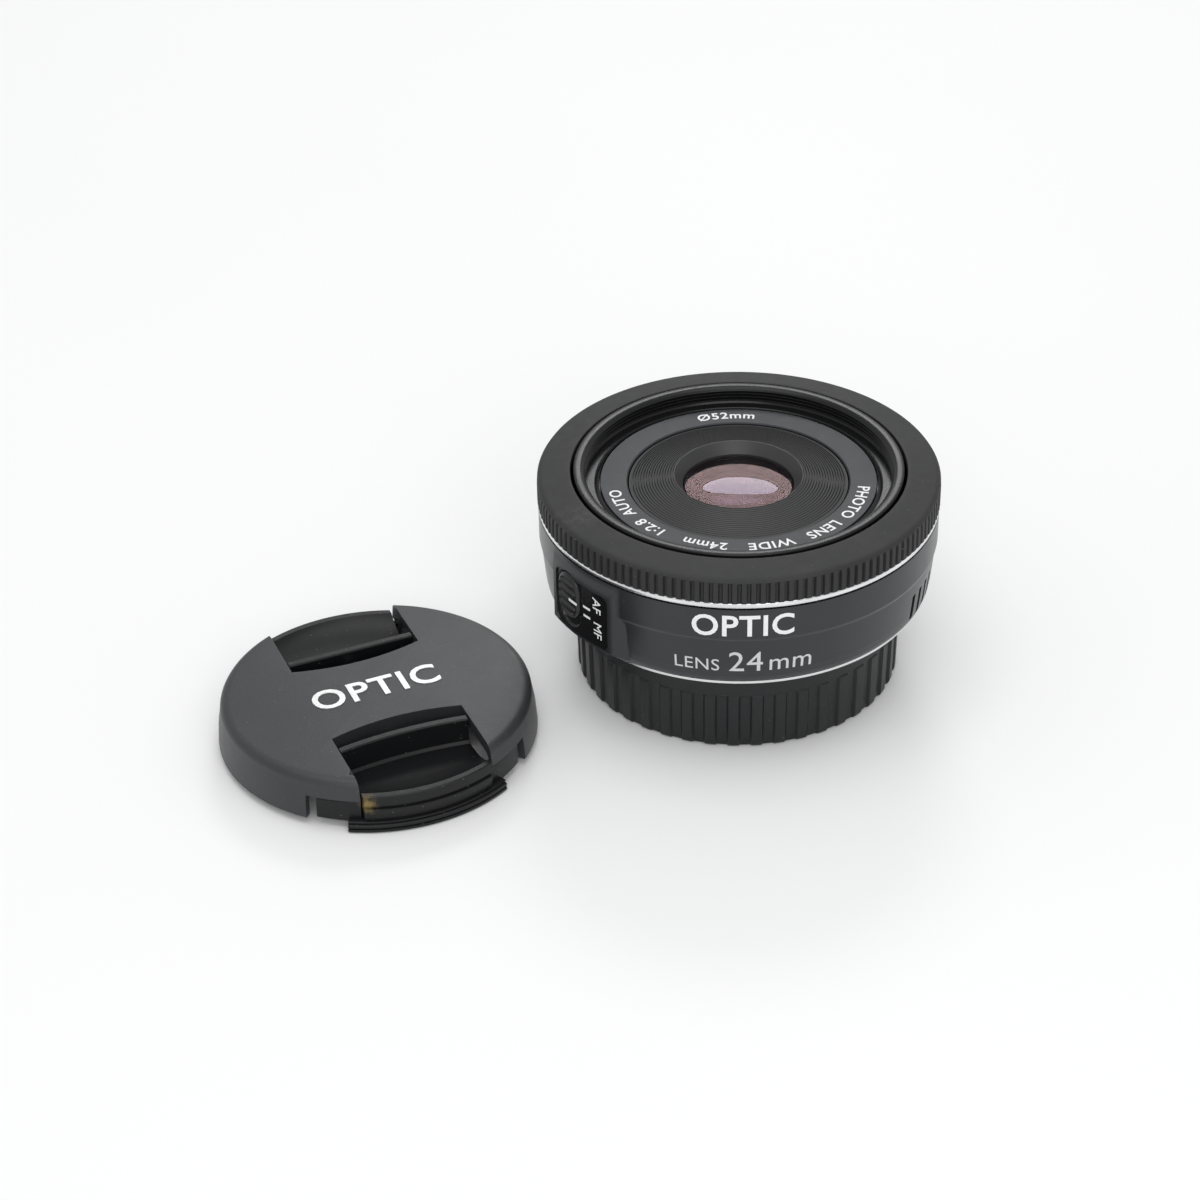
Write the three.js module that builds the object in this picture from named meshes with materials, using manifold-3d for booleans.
// A pancake prime lens for an interchangeable-lens camera, standing on its rear dust cap,
// with its pinch-type front cap lying beside it.
// Units are millimetres. The origin is where the optical axis meets the bottom of the rear cap,
// +Z runs along the optical axis towards the front glass, and +Y is opposite the barrel's lettering.

import * as THREE from "three";
import { mergeVertices } from "three/addons/utils/BufferGeometryUtils.js";
import Module from "manifold-3d";

const wasm = await Module();
wasm.setup();

// ---------------------------------------------------------------- driving dimensions

const GAP = 0.3; // clearance between neighbouring pieces
const FINE = 40; // segments round the large outer rings
const MEDIUM = 30; // segments round the rings inside them
const COARSE = 20; // segments round the small inner rings
const GLASS = 16; // segments round the glass elements

const FRONT_Z = 38.6; // front rim of the inner barrel
const FLANGE_Z = 15.6; // mounting face of the bayonet
const FLANGE_R = 31.9; // bright edge of the bayonet flange
const RING_R = 34.1; // focus ring, largest radius
const TRIM_R = 34.0; // bright ring under the focus ring
const BARREL_R = 33.95; // barrel, upper band
const BARREL_FOOT_R = 32.1; // barrel, where it meets the flange
const FILTER_R = 26.0; // front thread, M52
const FOCUS_TRAVEL = 4.5; // how far the front group extends
const CAM_TURN = THREE.MathUtils.degToRad(60); // cam ring turn for the whole travel

const SWITCH_ANGLE = THREE.MathUtils.degToRad(218); // direction of the AF/MF switch
const SWITCH_TRAVEL = 1.7;
const SWITCH_R = 34.35; // outer face of the switch panel
const SWITCH_Z = 24.5; // middle height of the knob's pocket
const KNOB_OFFSET = -3.3; // knob's place along the panel, left of its middle
const STEM_HALF = { t: 0.8, z: 1.0 }; // half size of the knob's stem

const BLADES = 7;
const BLADE_PIVOT_R = 8.9;
const BLADE_Z = 22.7; // lowest blade's underside
const BLADE_PITCH = 0.24; // height from one blade to the next
const BLADE_THICK = 0.14;

const CAM_GEAR = { teeth: 48, module: 0.75, z: 21.2, thick: 1.6 };
const IDLER = { teeth: 12, angle: THREE.MathUtils.degToRad(60) };
const PINION = { teeth: 10, axisR: 24.5 };
const IRIS_GEAR = { teeth: 44, module: 0.4 };
const IRIS_PINION = { teeth: 8, angle: THREE.MathUtils.degToRad(100) };

const MOUNT_SCREWS = 4;
const MOUNT_SCREW_R = 28.0;
const FOLLOWER_PINS = 3;
const PIN_Z = 24.9; // height of the follower pins at rest

const CAP_AT = { x: -61.8, y: -21.3, turn: THREE.MathUtils.degToRad(22.5) };
const CAP_FOOT_R = 27.1;
const CAP_TOP_R = 25.7;
const CAP_HEIGHT = 9.1;
const CAP_SKIRT_Z = 1.2; // the skirt ends above the table: the cap stands on its thread tongues
const RECESS_HALF = 11.4; // half width of a finger recess
const WINDOW_AT = 34; // direction of a skirt window, in degrees from the pinch axis
const WINDOW_HALF = 11.5; // half the window's arc, in degrees
const RECESS_INNER = 9.8; // recess wall's distance from the cap's centre
const LATCH_TRAVEL = 2.0;

// ---------------------------------------------------------------- materials

const material = (color, roughness, metalness = 0, extra = {}) => () =>
  new THREE.MeshStandardMaterial({ color, roughness, metalness, ...extra });

const satinBlack = material("#303236", 0.38);
const ringBlack = material("#2b2c2d", 0.62);
const nameBlack = material("#383b41", 0.5);
const baffleBlack = material("#262626", 0.7);
const dustCapBlack = material("#26282a", 0.48);
const frontCapBlack = material("#34363a", 0.5);
const glossBlack = material("#101113", 0.18);
const innerBlack = material("#1b1b1c", 0.8);
const brightMetal = material("#c9cbcf", 0.25, 1);
const steel = material("#9a9ca0", 0.35, 1);
const gold = material("#c9a24a", 0.3, 1);
const whiteGear = material("#d8d8d2", 0.55);
const boardGreen = material("#1f5b3a", 0.6);
const flexAmber = material("#8a5a1e", 0.5);
const glass = material("#d9d2e4", 0.05, 0, { transparent: true, opacity: 0.35 });

// ---------------------------------------------------------------- geometry helpers

const lens = new THREE.Group();

function add(name, geometry, makeMaterial, parent = lens) {
  const mesh = new THREE.Mesh(geometry, makeMaterial());
  mesh.name = name;
  parent.add(mesh);
  return mesh;
}

// A ring or disc turned from a list of [radius, height] points, listed anticlockwise in the
// half plane. A profile that starts on the axis is solid there; any other closes on itself.
function turned(points, segments) {
  const profile = points.map(([r, z]) => new THREE.Vector2(r, z));
  if (points[0][0] > 0) {
    profile.push(profile[0].clone());
  }
  return new THREE.LatheGeometry(profile, segments).rotateX(Math.PI / 2);
}

// A plain ring between two radii and two heights.
function ring(inner, outer, low, high, segments = COARSE) {
  return turned([[inner, low], [outer, low], [outer, high], [inner, high]], segments);
}

// A bar bent round the axis from one angle to another, which may climb from one end to the other.
function arcBar({ r, angles, z, climb = 0, steps = 5 }) {
  const corners = [[r[0], z[0]], [r[1], z[0]], [r[1], z[1]], [r[0], z[1]]];
  const positions = [];
  for (let i = 0; i <= steps; i += 1) {
    const share = i / steps;
    const angle = THREE.MathUtils.lerp(angles[0], angles[1], share);
    for (const [radius, height] of corners) {
      positions.push(radius * Math.cos(angle), radius * Math.sin(angle), height + climb * share);
    }
  }
  const faces = [0, 1, 2, 0, 2, 3];
  const last = steps * 4;
  faces.push(last, last + 2, last + 1, last, last + 3, last + 2);
  for (let i = 0; i < steps; i += 1) {
    for (let side = 0; side < 4; side += 1) {
      const a = i * 4 + side;
      const b = i * 4 + ((side + 1) % 4);
      faces.push(a, a + 4, b, b, a + 4, b + 4);
    }
  }
  const geometry = new THREE.BufferGeometry();
  geometry.setAttribute("position", new THREE.Float32BufferAttribute(positions, 3));
  geometry.setIndex(faces);
  return geometry;
}

const degrees = (...angles) => angles.map((angle) => THREE.MathUtils.degToRad(angle));

// A box given by its centre and full size.
function block(cx, cy, cz, sx, sy, sz) {
  return new THREE.BoxGeometry(sx, sy, sz).translate(cx, cy, cz);
}

// An upright cylinder between two heights.
function post(x, y, low, high, radius, segments = 20) {
  const geometry = new THREE.CylinderGeometry(radius, radius, high - low, segments);
  return geometry.rotateX(Math.PI / 2).translate(x, y, (low + high) / 2);
}

// A flat outline given thickness, standing on the height "low".
function plate(shape, low, thick, curveSegments = 8) {
  const geometry = new THREE.ExtrudeGeometry(shape, {
    depth: thick,
    bevelEnabled: false,
    curveSegments,
  });
  return geometry.translate(0, 0, low);
}

// A closed mesh as a solid that can be joined and cut.
function solid(geometry) {
  const bare = geometry.clone();
  bare.deleteAttribute("normal");
  bare.deleteAttribute("uv");
  const merged = mergeVertices(bare, 1e-4);
  const mesh = new wasm.Mesh({
    numProp: 3,
    vertProperties: new Float32Array(merged.attributes.position.array),
    triVerts: new Uint32Array(merged.index.array),
  });
  return new wasm.Manifold(mesh);
}

// The geometry of a solid after joining and cutting.
function geometryOf(manifold) {
  const mesh = manifold.getMesh();
  const geometry = new THREE.BufferGeometry();
  geometry.setAttribute("position", new THREE.BufferAttribute(mesh.vertProperties, 3));
  geometry.setIndex(new THREE.BufferAttribute(mesh.triVerts, 1));
  geometry.computeVertexNormals();
  return geometry;
}

function carved(base, { joins = [], cuts = [] }) {
  let result = solid(base);
  for (const piece of joins) {
    result = result.add(solid(piece));
  }
  for (const tool of cuts) {
    result = result.subtract(solid(tool));
  }
  return geometryOf(result);
}

// Points of gear teeth with straight flanks, from tooth "first" to tooth "last".
// Tooth 0 is centred on the angle "phase". Teeth are a little thin, for running clearance.
function toothPoints({ teeth, module }, first, last, phase) {
  const pitchR = (teeth * module) / 2;
  const root = pitchR - 1.15 * module;
  const tip = pitchR + 0.8 * module;
  const step = (2 * Math.PI) / teeth;
  const points = [];
  for (let k = first; k <= last; k += 1) {
    const middle = phase + k * step;
    const flank = [[root, -0.3], [tip, -0.11], [tip, 0.11], [root, 0.3]];
    for (const [radius, share] of flank) {
      const angle = middle + share * step;
      points.push(new THREE.Vector2(radius * Math.cos(angle), radius * Math.sin(angle)));
    }
  }
  return points;
}

function gearGeometry(gear, phase, low, thick, boreR) {
  const shape = new THREE.Shape(toothPoints(gear, 0, gear.teeth - 1, phase));
  const bore = new THREE.Path();
  bore.absarc(0, 0, boreR, 0, 2 * Math.PI, true);
  shape.holes.push(bore);
  return plate(shape, low, thick, 6);
}

// A toothed segment on the outside of a ring, from its inner radius out to the teeth.
function toothedSegment(gear, innerR, first, last, phase, low, thick) {
  const points = toothPoints(gear, first, last, phase);
  const start = points[0].angle();
  const span = ((last - first + 1) * 2 * Math.PI) / gear.teeth;
  const inner = [];
  const steps = 10;
  for (let i = steps; i >= 0; i -= 1) {
    const angle = start + (span * i) / steps;
    inner.push(new THREE.Vector2(innerR * Math.cos(angle), innerR * Math.sin(angle)));
  }
  return plate(new THREE.Shape([...points, ...inner]), low, thick);
}

// ---------------------------------------------------------------- fixed shell

function mainBarrel() {
  const shell = turned([
    [BARREL_FOOT_R, 16.8], [33.0, 18.4], [33.65, 25.8], [BARREL_R, 26.5], [BARREL_R, 31.9],
    [32.3, 31.9], [32.3, 26.2], [30.3, 19.3], [23.5, 19.3], [23.5, 17.6], [30.9, 17.6], [30.9, 16.8],
  ], FINE);
  const housing = arcBar({ r: [32.4, 34.6], angles: degrees(202, 234), z: [18.0, 31.6] });
  const pocket = arcBar({ r: [33.6, 36], angles: degrees(204.4, 229.7), z: [18.4, 30.6] });
  const slot = block(0, 0, SWITCH_Z, 12, 2 * (STEM_HALF.t + GAP), 2 * STEM_HALF.z + SWITCH_TRAVEL + 0.8);
  slot.translate(32, KNOB_OFFSET, 0).rotateZ(SWITCH_ANGLE);
  const cuts = [pocket, slot];
  for (const angle of screwAngles()) {
    cuts.push(post(MOUNT_SCREW_R * Math.cos(angle), MOUNT_SCREW_R * Math.sin(angle), 17, 20, 0.9, 8));
  }
  return carved(shell, { joins: [housing], cuts });
}

function screwAngles() {
  return Array.from({ length: MOUNT_SCREWS }, (_, i) => ((i + 0.5) * 2 * Math.PI) / MOUNT_SCREWS);
}

function switchPanel() {
  const panel = arcBar({ r: [33.8, SWITCH_R], angles: degrees(205, 229.1), z: [18.7, 30.3] });
  const window = block(0, 0, SWITCH_Z, 8, 6.4, 10.9);
  window.translate(34, KNOB_OFFSET, 0).rotateZ(SWITCH_ANGLE);
  return carved(panel, { cuts: [window] });
}

function switchKnob() {
  const top = SWITCH_Z + SWITCH_TRAVEL / 2;
  const cap = block(34.3, KNOB_OFFSET, top, 1.0, 5.8, 8.5);
  const stem = block(32.2, KNOB_OFFSET, top, 3.6, 2 * STEM_HALF.t, 2 * STEM_HALF.z);
  return carved(cap, { joins: [stem] }).rotateZ(SWITCH_ANGLE);
}

function bayonetMount() {
  const body = turned([
    [22.6, 10.4], [24.2, 10.4], [24.2, FLANGE_Z], [31.2, FLANGE_Z], [FLANGE_R, 16.0],
    [FLANGE_R, 16.5], [30.6, 16.5], [30.6, 17.3], [22.2, 17.3], [22.2, FLANGE_Z], [22.6, FLANGE_Z],
  ], MEDIUM);
  const claws = [0, 120, 240].map((start) =>
    arcBar({ r: [23.4, 25.5], angles: degrees(start + 65, start + 115), z: [10.4, 12.2] }));
  const cuts = [];
  for (const angle of screwAngles()) {
    const x = MOUNT_SCREW_R * Math.cos(angle);
    const y = MOUNT_SCREW_R * Math.sin(angle);
    cuts.push(post(x, y, 15, 16.6, 1.7, 12), post(x, y, 16, 18, 0.9, 8));
  }
  return carved(body, { joins: claws, cuts });
}

function mountScrew(angle) {
  const x = MOUNT_SCREW_R * Math.cos(angle);
  const y = MOUNT_SCREW_R * Math.sin(angle);
  const head = post(x, y, 15.65, 16.3, 1.4, 10);
  const shank = post(x, y, 16.2, 19.0, 0.6, 8);
  return carved(head, { joins: [shank] });
}

function buildShell() {
  add("main_barrel", mainBarrel(), satinBlack);
  add("upper_trim_ring", ring(32.9, TRIM_R, 32.2, 33.1, FINE), brightMetal);
  add("switch_panel", switchPanel(), glossBlack);
  add("af_mf_knob", switchKnob(), glossBlack);
  add("bayonet_mount", bayonetMount(), brightMetal);
  screwAngles().forEach((angle, i) => add(`mount_screw_${i + 1}`, mountScrew(angle), steel));
  const baffle = turned([
    [11.2, 11.5], [12.2, 11.5], [12.2, 16.0], [21.0, 16.0], [21.0, 17.0], [11.2, 17.0],
  ], COARSE);
  add("rear_baffle", baffle, innerBlack);
}

// ---------------------------------------------------------------- electronics

function buildElectronics() {
  const board = arcBar({ r: [19, 29], angles: degrees(115, 385), z: [21.2, 22.0], steps: 24 });
  const controller = block(-23, 6, 22.4, 5, 5, 1.2);
  const driver = block(8, -23.5, 22.3, 4, 3, 1.0);
  add("main_board", carved(board, { joins: [controller, driver] }), boardGreen);
  add("flex_cable", arcBar({ r: [21.3, 21.5], angles: degrees(262, 278), z: [15.4, 20.9] }), flexAmber);
  add("contact_block", arcBar({ r: [19.2, 22.2], angles: degrees(250, 290), z: [10.7, 15.1] }), innerBlack);
  const strip = arcBar({ r: [20.2, 21.4], angles: degrees(253, 287), z: [10.1, 10.4] });
  const pads = [255, 260, 265, 270, 275, 280, 285].map((angle) =>
    arcBar({ r: [20.4, 21.2], angles: degrees(angle - 1, angle + 1), z: [9.7, 10.2], steps: 1 }));
  add("contact_strip", carved(strip, { joins: pads }), gold);
  const sensor = block(27.6, 0, 28.6, 2.6, 6, 4.4).rotateZ(degrees(150)[0]);
  add("encoder_sensor", sensor, innerBlack);
  const switchBoard = block(29.2, 0, 24.8, 0.8, 9, 4.8).rotateZ(SWITCH_ANGLE);
  add("switch_board", switchBoard, boardGreen);
}

// ---------------------------------------------------------------- focus ring

function buildFocusRing() {
  const body = turned([
    [32.4, 33.4], [RING_R, 33.4], [RING_R, 37.0], [33.5, 37.6], [28.4, 38.4], [28.4, 36.9],
    [31.0, 36.5], [31.0, 28.2], [31.9, 28.2], [31.9, 33.9], [32.4, 33.9],
  ], FINE);
  add("focus_ring", body, ringBlack);
  const comb = ring(29.9, 30.7, 30.4, 31.4);
  const teeth = Array.from({ length: 12 }, (_, i) =>
    arcBar({ r: [30.0, 30.6], angles: degrees(i * 30, i * 30 + 14), z: [29.0, 30.6], steps: 1 }));
  add("encoder_comb", carved(comb, { joins: teeth }), innerBlack);
}

// ---------------------------------------------------------------- moving optical group

// A round lens element: its edge lies between two heights, and each face bulges by its own
// amount (positive bulges away from the element's middle, negative hollows it).
function element(radius, low, high, bulgeLow, bulgeHigh) {
  const steps = 3;
  const points = [];
  for (let i = 0; i <= steps; i += 1) {
    const r = (radius * i) / steps;
    points.push([r, low - bulgeLow * (1 - (r / radius) ** 2)]);
  }
  for (let i = steps; i >= 0; i -= 1) {
    const r = (radius * i) / steps;
    points.push([r, high + bulgeHigh * (1 - (r / radius) ** 2)]);
  }
  return turned(points, GLASS);
}

function buildOptics() {
  add("inner_barrel", turned([
    [26.6, 31.5], [27.9, 31.5], [27.9, 38.3], [27.5, FRONT_Z], [26.6, FRONT_Z], [FILTER_R, 38.2],
    [FILTER_R, 35.8], [23.7, 35.8], [23.7, 34.7], [19.2, 34.7], [19.2, 33.4], [26.6, 33.4],
  ], FINE), satinBlack);
  add("name_ring", ring(18.8, 23.4, 35.0, 35.8, MEDIUM), nameBlack);
  add("baffle_cone", turned([
    [9.4, 33.2], [10.6, 33.2], [10.6, 33.5], [18.5, 34.3], [18.5, 35.6], [10.9, 36.9], [9.4, 35.0],
  ], MEDIUM), baffleBlack);
  add("element_1", element(9.1, 33.4, 34.7, -0.5, 0.9), glass);
  add("element_spacer", ring(8.2, 9.1, 31.4, 33.1), innerBlack);
  add("front_cell", turned([
    [7.2, 26.6], [10.4, 26.6], [10.4, 32.3], [9.4, 32.3], [9.4, 31.2], [8.1, 31.2], [8.1, 29.1],
    [7.2, 29.1],
  ], COARSE), innerBlack);
  add("element_2", element(7.8, 29.6, 30.9, 0.2, 0.2), glass);
  add("element_3", element(6.9, 27.4, 28.7, -0.4, -0.2), glass);
  add("rear_cell", turned([
    [9.4, 10.2], [10.4, 10.2], [10.4, 21.0], [6.6, 21.0], [6.6, 18.3], [8.6, 18.3], [8.6, 14.2],
    [9.4, 14.2],
  ], COARSE), innerBlack);
  add("element_4", element(6.3, 18.8, 20.4, -0.4, -0.3), glass);
  add("element_5", element(8.3, 15.0, 17.4, 0.2, 0.5), glass);
  add("element_6", element(9.1, 11.0, 13.4, 0.4, 0.3), glass);
  const sleeve = turned([
    [12.7, 18.0], [13.7, 18.0], [13.7, 32.0], [25.6, 32.0], [25.6, 33.1], [12.7, 33.1],
  ], COARSE);
  const pins = followerAngles().map((angle) =>
    new THREE.CylinderGeometry(0.8, 0.8, 3.2, 12).rotateZ(Math.PI / 2)
      .translate(14.7, 0, PIN_Z).rotateZ(angle));
  add("group_carrier", carved(sleeve, { joins: pins }), innerBlack);
}

function followerAngles() {
  return Array.from({ length: FOLLOWER_PINS }, (_, i) => (i * 2 * Math.PI) / FOLLOWER_PINS);
}

// ---------------------------------------------------------------- focus drive

// The sloping slot that lifts one follower pin as the cam ring turns.
function camSlot(angle) {
  const over = 0.08; // the slot runs on a little past each end of the travel
  const halfHeight = 1.15;
  const climb = FOCUS_TRAVEL * (1 + 2 * over);
  const top = PIN_Z + FOCUS_TRAVEL * (1 + over);
  return arcBar({
    r: [14.5, 18],
    angles: [angle - CAM_TURN * (1 + over), angle + CAM_TURN * over],
    z: [top - halfHeight, top + halfHeight],
    climb: -climb,
    steps: 8,
  });
}

function buildFocusDrive() {
  const tube = turned([
    [14.1, 17.4], [15.0, 17.4], [15.0, 19.6], [20.6, 19.6], [20.6, 20.6], [15.0, 20.6],
    [15.0, 31.6], [14.1, 31.6],
  ], MEDIUM);
  const straight = followerAngles().map((angle) =>
    block(14.6, 0, PIN_Z + FOCUS_TRAVEL / 2, 3, 2.4, FOCUS_TRAVEL + 2.8).rotateZ(angle));
  add("guide_barrel", carved(tube, { cuts: straight }), innerBlack);

  const idlerR = (IDLER.teeth * CAM_GEAR.module) / 2;
  const idlerAxis = (CAM_GEAR.teeth * CAM_GEAR.module) / 2 + idlerR;
  const camBody = ring(15.5, 16.7, 20.9, 31.5, MEDIUM);
  const camTeeth = toothedSegment(CAM_GEAR, 16.2, -10, 2, IDLER.angle, CAM_GEAR.z, CAM_GEAR.thick);
  const slots = followerAngles().map(camSlot);
  add("cam_ring", carved(camBody, { joins: [camTeeth], cuts: slots }), innerBlack);

  const idlerX = idlerAxis * Math.cos(IDLER.angle);
  const idlerY = idlerAxis * Math.sin(IDLER.angle);
  const idlerGear = { teeth: IDLER.teeth, module: CAM_GEAR.module };
  const halfTooth = Math.PI / IDLER.teeth;
  const idler = gearGeometry(idlerGear, IDLER.angle + Math.PI + halfTooth, CAM_GEAR.z, CAM_GEAR.thick, 1.0);
  add("idler_gear", idler.translate(idlerX, idlerY, 0), whiteGear);
  add("idler_post", post(idlerX, idlerY, 19.6, 23.4, 0.7, 12), steel);

  const pinionR = (PINION.teeth * CAM_GEAR.module) / 2;
  const reach = idlerR + pinionR;
  const cosine = (idlerAxis ** 2 + PINION.axisR ** 2 - reach ** 2) / (2 * idlerAxis * PINION.axisR);
  const pinionAngle = IDLER.angle + Math.acos(cosine);
  const pinionX = PINION.axisR * Math.cos(pinionAngle);
  const pinionY = PINION.axisR * Math.sin(pinionAngle);
  const toIdler = Math.atan2(idlerY - pinionY, idlerX - pinionX);
  const idlerPhase = IDLER.angle + Math.PI + halfTooth;
  const idlerStep = (2 * Math.PI) / IDLER.teeth;
  const away = toIdler + Math.PI - idlerPhase;
  const offset = (away / idlerStep - Math.round(away / idlerStep)) * idlerStep;
  const pinionPhase = toIdler + Math.PI / PINION.teeth + (offset * IDLER.teeth) / PINION.teeth;
  const pinionGear = { teeth: PINION.teeth, module: CAM_GEAR.module };
  const pinion = gearGeometry(pinionGear, pinionPhase, CAM_GEAR.z, CAM_GEAR.thick, 0.9);
  add("motor_pinion", pinion.translate(pinionX, pinionY, 0), whiteGear);

  const can = post(pinionX, pinionY, 23.3, 30.6, 4.2, COARSE);
  const shaft = post(pinionX, pinionY, 20.0, 23.6, 0.6, 12);
  add("focus_motor", carved(can, { joins: [shaft] }), steel);
}

// ---------------------------------------------------------------- iris

function bladeGeometry(index) {
  const angle = (index * 2 * Math.PI) / BLADES;
  const shape = new THREE.Shape();
  const sweep = THREE.MathUtils.degToRad(78);
  const arcSteps = 8;
  shape.moveTo(BLADE_PIVOT_R + 0.9, 0);
  shape.absarc(BLADE_PIVOT_R, 0, 0.9, 0, -Math.PI, true);
  for (let i = 0; i <= arcSteps; i += 1) {
    const turn = (sweep * i) / arcSteps;
    const inner = 5.6 + 1.6 * (1 - i / arcSteps) ** 2;
    shape.lineTo(inner * Math.cos(turn), inner * Math.sin(turn));
  }
  for (let i = arcSteps; i >= 1; i -= 1) {
    const turn = (sweep * i) / arcSteps;
    const outer = 9.6 - (1.6 * i) / arcSteps;
    shape.lineTo(outer * Math.cos(turn), outer * Math.sin(turn));
  }
  return plate(shape, BLADE_Z + index * BLADE_PITCH, BLADE_THICK, 6).rotateZ(angle);
}

function buildIris() {
  const housing = turned([
    [5.2, 21.7], [12.2, 21.7], [12.2, 24.4], [11.5, 24.4], [11.5, 22.4], [5.2, 22.4],
  ], COARSE);
  const pinionAxis = ((IRIS_GEAR.teeth + IRIS_PINION.teeth) * IRIS_GEAR.module) / 2;
  const pinionX = pinionAxis * Math.cos(IRIS_PINION.angle);
  const pinionY = pinionAxis * Math.sin(IRIS_PINION.angle);
  add("iris_housing", housing, innerBlack);
  for (let i = 0; i < BLADES; i += 1) {
    add(`iris_blade_${i + 1}`, bladeGeometry(i), steel);
  }
  const ringBody = ring(5.6, 8.2, 24.9, 25.7);
  const segment = toothedSegment(IRIS_GEAR, 7.6, -5, 2, IRIS_PINION.angle, 24.9, 0.8);
  add("iris_ring", carved(ringBody, { joins: [segment] }), innerBlack);
  const gear = { teeth: IRIS_PINION.teeth, module: IRIS_GEAR.module };
  const phase = IRIS_PINION.angle + Math.PI + Math.PI / IRIS_PINION.teeth;
  const pinion = gearGeometry(gear, phase, 24.9, 0.8, 0.55);
  add("iris_pinion", pinion.translate(pinionX, pinionY, 0), whiteGear);
  const motorX = 11.5 * Math.cos(IRIS_PINION.angle);
  const motorY = 11.5 * Math.sin(IRIS_PINION.angle);
  const can = post(motorX, motorY, 26.3, 31.2, 1.0, 16);
  const spindle = post(pinionX, pinionY, 24.7, 26.5, 0.3, 8);
  add("iris_motor", carved(can, { joins: [spindle] }), steel);
}

// ---------------------------------------------------------------- rear dust cap

function buildRearCap() {
  const cup = turned([
    [0, 0], [27.0, 0], [27.6, 0.6], [28.0, 10.4], [27.75, 10.7], [27.75, 15.1], [25.95, 15.1],
    [25.95, 1.6], [0, 1.6],
  ], FINE);
  const lugs = [0, 120, 240].map((start) =>
    arcBar({ r: [24.6, 26.4], angles: degrees(start + 67, start + 113), z: [12.7, 14.4] }));
  add("rear_cap", carved(cup, { joins: lugs }), dustCapBlack);
}

// ---------------------------------------------------------------- front cap

function capBody() {
  const shell = turned([
    [0, 6.9], [24.4, 6.9], [25.4, 6.0], [25.7, CAP_SKIRT_Z], [CAP_FOOT_R, CAP_SKIRT_Z], [26.5, 6.6],
    [CAP_TOP_R, 8.6], [24.9, CAP_HEIGHT], [0, CAP_HEIGHT],
  ], FINE);
  const joins = [];
  const cuts = [];
  for (const side of [-1, 1]) {
    const width = 2 * RECESS_HALF;
    joins.push(block(0, side * (RECESS_INNER - 0.5), 5.9, width + 2, 1.0, 5.2));
    cuts.push(block(0, side * (RECESS_INNER + 15), 6, width, 30, 14));
    for (const end of [-1, 1]) {
      const middle = 90 * side - WINDOW_AT * end;
      const span = degrees(middle - WINDOW_HALF, middle + WINDOW_HALF);
      cuts.push(arcBar({ r: [24.8, 29], angles: span, z: [0.5, 5.6] }));
    }
  }
  return carved(shell, { joins, cuts });
}

// One pinch latch, drawn for the far side: finger bar, scoop floor, outer lip, the thread tongue
// that the cap stands on, and two wings that show in the windows of the skirt.
function latch() {
  const half = RECESS_HALF - GAP;
  const bar = block(0, RECESS_INNER + LATCH_TRAVEL + 1.1, 6.15, 2 * half, 1.6, 5.3);
  const floor = block(0, 18.6, 4.0, 2 * half, 13.6, 1.0);
  const reach = Math.asin(half / 27.2);
  const lipAngles = [Math.PI / 2 - reach, Math.PI / 2 + reach];
  const lip = arcBar({ r: [25.0, 27.2], angles: lipAngles, z: [1.7, 6.9] });
  const tongue = arcBar({ r: [25.8, 27.9], angles: degrees(60, 120), z: [0, 1.9] });
  const wing = arcBar({ r: [25.1, 26.2], angles: degrees(47, 133), z: [1.4, 5.2], steps: 10 });
  return carved(bar, { joins: [floor, lip, tongue, wing] });
}

function buildFrontCap() {
  const cap = new THREE.Group();
  cap.position.set(CAP_AT.x, CAP_AT.y, 0);
  cap.rotation.z = CAP_AT.turn;
  lens.add(cap);
  add("front_cap_body", capBody(), frontCapBlack, cap);
  [["far", 0], ["near", Math.PI]].forEach(([side, turn]) => {
    add(`front_cap_latch_${side}`, latch().rotateZ(turn), frontCapBlack, cap);
    const coil = new THREE.CylinderGeometry(0.9, 0.9, LATCH_TRAVEL - 0.2, 14);
    coil.translate(0, RECESS_INNER + GAP + LATCH_TRAVEL / 2, 5.6).rotateZ(turn);
    add(`front_cap_spring_${side}`, coil, steel, cap);
  });
}

buildShell();
buildElectronics();
buildFocusRing();
buildOptics();
buildFocusDrive();
buildIris();
buildRearCap();
buildFrontCap();

export default lens;
